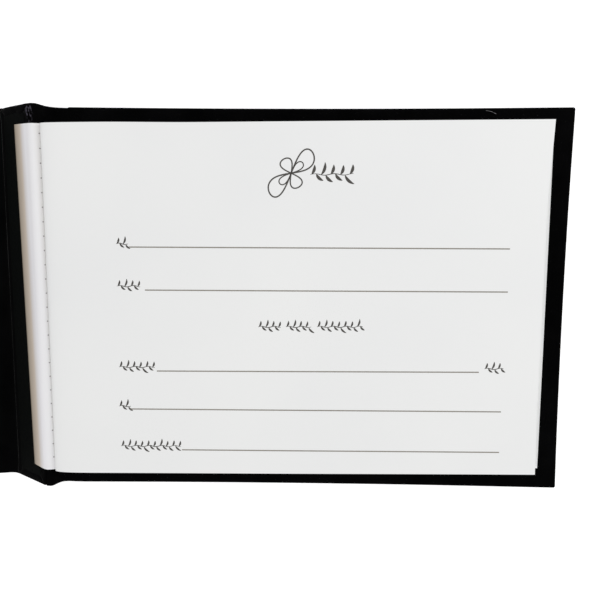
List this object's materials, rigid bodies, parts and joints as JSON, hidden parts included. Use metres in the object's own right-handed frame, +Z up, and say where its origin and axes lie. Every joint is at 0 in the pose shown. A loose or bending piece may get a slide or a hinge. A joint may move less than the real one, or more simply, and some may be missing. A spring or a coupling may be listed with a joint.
{
  "type": "wedding guest book",
  "caption": "Open landscape guest book: padded black cloth covers on a hinged spine strip, around a side-sewn block of white leaves that turn at the gutter.",
  "frame": {"origin": "on the table plane, midway between the two open covers and at the middle of their height", "axes": "+X runs across the open book from the front cover on the left to the fore edge of the leaves on the right, +Y runs up the page to its head, +Z is up off the table"},
  "size_m": [0.4844, 0.1696, 0.0199],
  "materials": {
    "black_cloth": "deep black napped cover cloth",
    "black_lining": "matt black lining cloth",
    "grey_board": "raw binder's board",
    "white_foam": "white polyester wadding",
    "white_paper": "uncoated white paper",
    "binding_linen": "open-weave binding linen set in glue",
    "white_thread": "white sewing thread"
  },
  "bodies": {
    "root": {"back_cover_cloth": "black_cloth", "back_cover_padding": "white_foam", "back_cover_board": "grey_board", "back_cover_lining": "black_lining", "back_joint_cloth": "black_cloth", "back_endpaper": "white_paper", "leaf_pack_01": "white_paper", "leaf_pack_02": "white_paper", "leaf_pack_03": "white_paper", "leaf_pack_04": "white_paper", "leaf_pack_05": "white_paper", "leaf_pack_06": "white_paper", "leaf_04_margin": "white_paper", "leaf_03_margin": "white_paper", "leaf_02_margin": "white_paper", "title_leaf_margin": "white_paper", "front_guard": "white_paper", "binding_mull": "binding_linen", "needle_thread": "white_thread", "bobbin_thread": "white_thread"},
    "spine": {"spine_cloth": "black_cloth", "spine_board": "grey_board", "spine_lining": "black_lining", "front_joint_cloth": "black_cloth"},
    "front_cover": {"front_cover_cloth": "black_cloth", "front_cover_padding": "white_foam", "front_cover_board": "grey_board", "front_cover_lining": "black_lining"},
    "leaf_04": {"leaf_04": "white_paper"},
    "leaf_03": {"leaf_03": "white_paper"},
    "leaf_02": {"leaf_02": "white_paper"},
    "title_leaf": {"title_leaf": "white_paper"}
  },
  "joints": [
    {"name": "spine_hinge", "type": "hinge", "parent": "root", "child": "spine", "pos_m": [0.00585, 0, 0.00935], "axis": [0, -1, 0], "range_deg": [-125.97, 0], "deforming": ["back_joint_cloth", "front_guard"]},
    {"name": "front_cover_hinge", "type": "hinge", "parent": "spine", "child": "front_cover", "pos_m": [-0.00882, 0, 0.00239], "axis": [0, -1, 0], "range_deg": [-54.03, 0], "deforming": ["front_joint_cloth"]},
    {"name": "leaf_04_fold", "type": "hinge", "parent": "root", "child": "leaf_04", "pos_m": [0.0148, 0, 0.01773], "axis": [0, -1, 0], "range_deg": [0, 5]},
    {"name": "leaf_03_fold", "type": "hinge", "parent": "leaf_04", "child": "leaf_03", "pos_m": [0.01455, 0, 0.01827], "axis": [0, -1, 0], "range_deg": [0, 8]},
    {"name": "leaf_02_fold", "type": "hinge", "parent": "leaf_03", "child": "leaf_02", "pos_m": [0.0143, 0, 0.01883], "axis": [0, -1, 0], "range_deg": [0, 12]},
    {"name": "title_leaf_fold", "type": "hinge", "parent": "leaf_02", "child": "title_leaf", "pos_m": [0.01406, 0, 0.01937], "axis": [0, -1, 0], "range_deg": [0, 130]}
  ]
}
